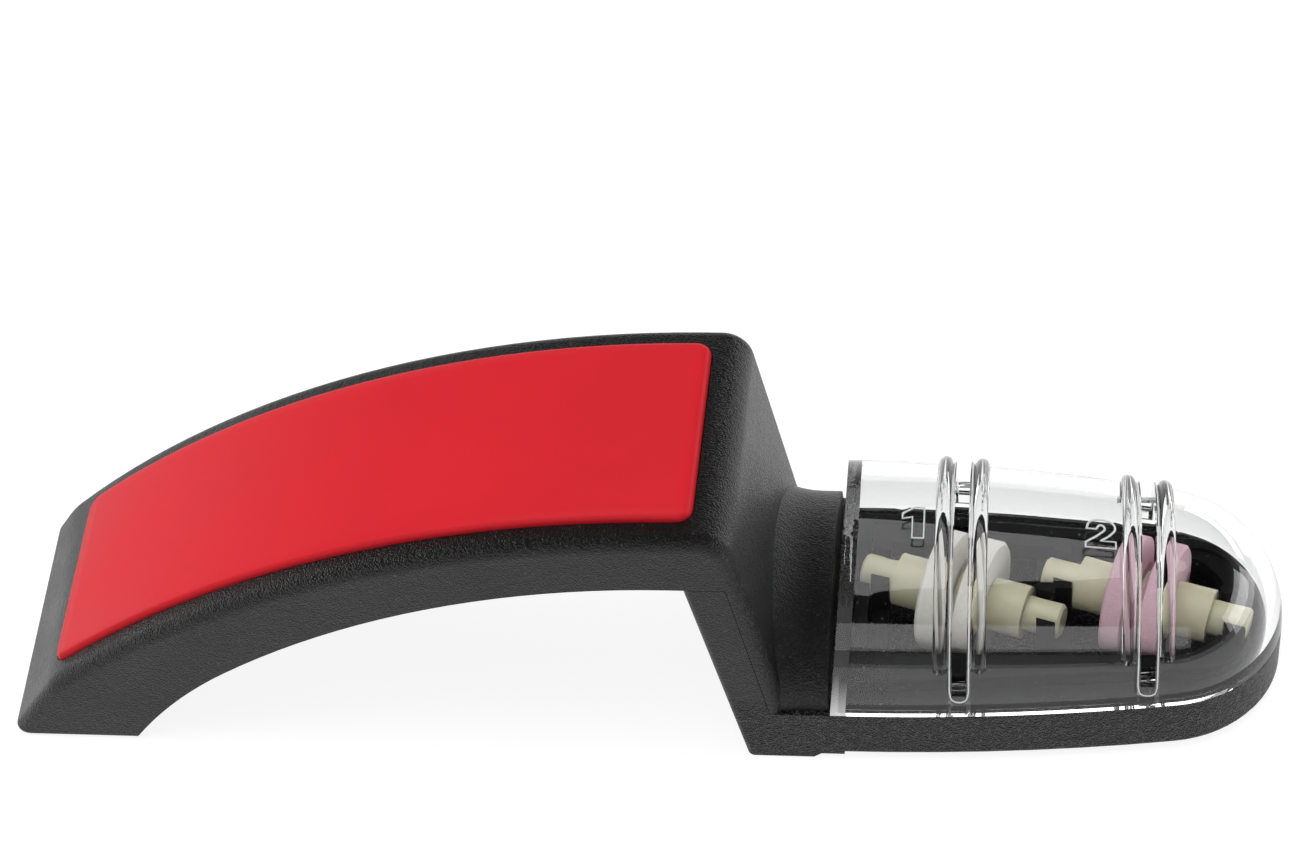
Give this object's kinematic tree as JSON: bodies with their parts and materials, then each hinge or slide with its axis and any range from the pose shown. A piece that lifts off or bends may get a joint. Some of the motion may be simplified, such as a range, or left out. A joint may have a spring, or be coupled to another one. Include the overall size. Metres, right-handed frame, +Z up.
{
  "type": "pull through knife sharpener",
  "caption": "Knife sharpener with a curved raised handle, a soft grip plate and a clear slotted cover over yawed coarse and fine ceramic wheel cartridges in a tray.",
  "frame": {"origin": "middle of the footprint, on the surface that the pads rest on", "axes": "+X along the length from the handle's tail to the rounded nose, +Z up"},
  "size_m": [0.2038, 0.0468, 0.0491],
  "materials": {
    "housing_black": "fine spark grain, semi-matt",
    "grip_red": "soft touch, matt",
    "cover_clear": "clear, polished",
    "wheel_white": "fine abrasive, matt",
    "wheel_pink": "fine abrasive, matt",
    "nylon_cream": "smooth, semi-matt",
    "pad_rubber": "matt",
    "screw_steel": "plated"
  },
  "bodies": {
    "housing": {"handle_shell": "housing_black", "base_shell": "housing_black", "grip_insert": "grip_red", "wheel_cradle": "housing_black", "tail_pad": "pad_rubber", "leg_pad": "pad_rubber", "nose_pads": "pad_rubber", "handle_screws": "screw_steel", "leg_screws": "screw_steel"},
    "cover": {"wheel_cover": "cover_clear"},
    "coarse_cartridge": {"coarse_axle": "nylon_cream", "coarse_end_collar": "nylon_cream", "coarse_spacer": "nylon_cream", "coarse_wheel_left": "wheel_white", "coarse_wheel_right": "wheel_white"},
    "fine_cartridge": {"fine_axle": "nylon_cream", "fine_end_collar": "nylon_cream", "fine_spacer": "nylon_cream", "fine_wheel_left": "wheel_pink", "fine_wheel_right": "wheel_pink"}
  },
  "joints": [
    {"name": "cover_lift", "type": "slide", "parent": "housing", "child": "cover", "axis": [0, 0, 1], "range_m": [0, 0.03]},
    {"name": "coarse_spin", "type": "hinge", "parent": "housing", "child": "coarse_cartridge", "pos_m": [0.05221, 0, 0.0126], "axis": [0.9494, -0.314, 0], "continuous": true},
    {"name": "fine_spin", "type": "hinge", "parent": "housing", "child": "fine_cartridge", "pos_m": [0.08061, 0, 0.0126], "axis": [0.9494, -0.314, 0], "continuous": true}
  ]
}
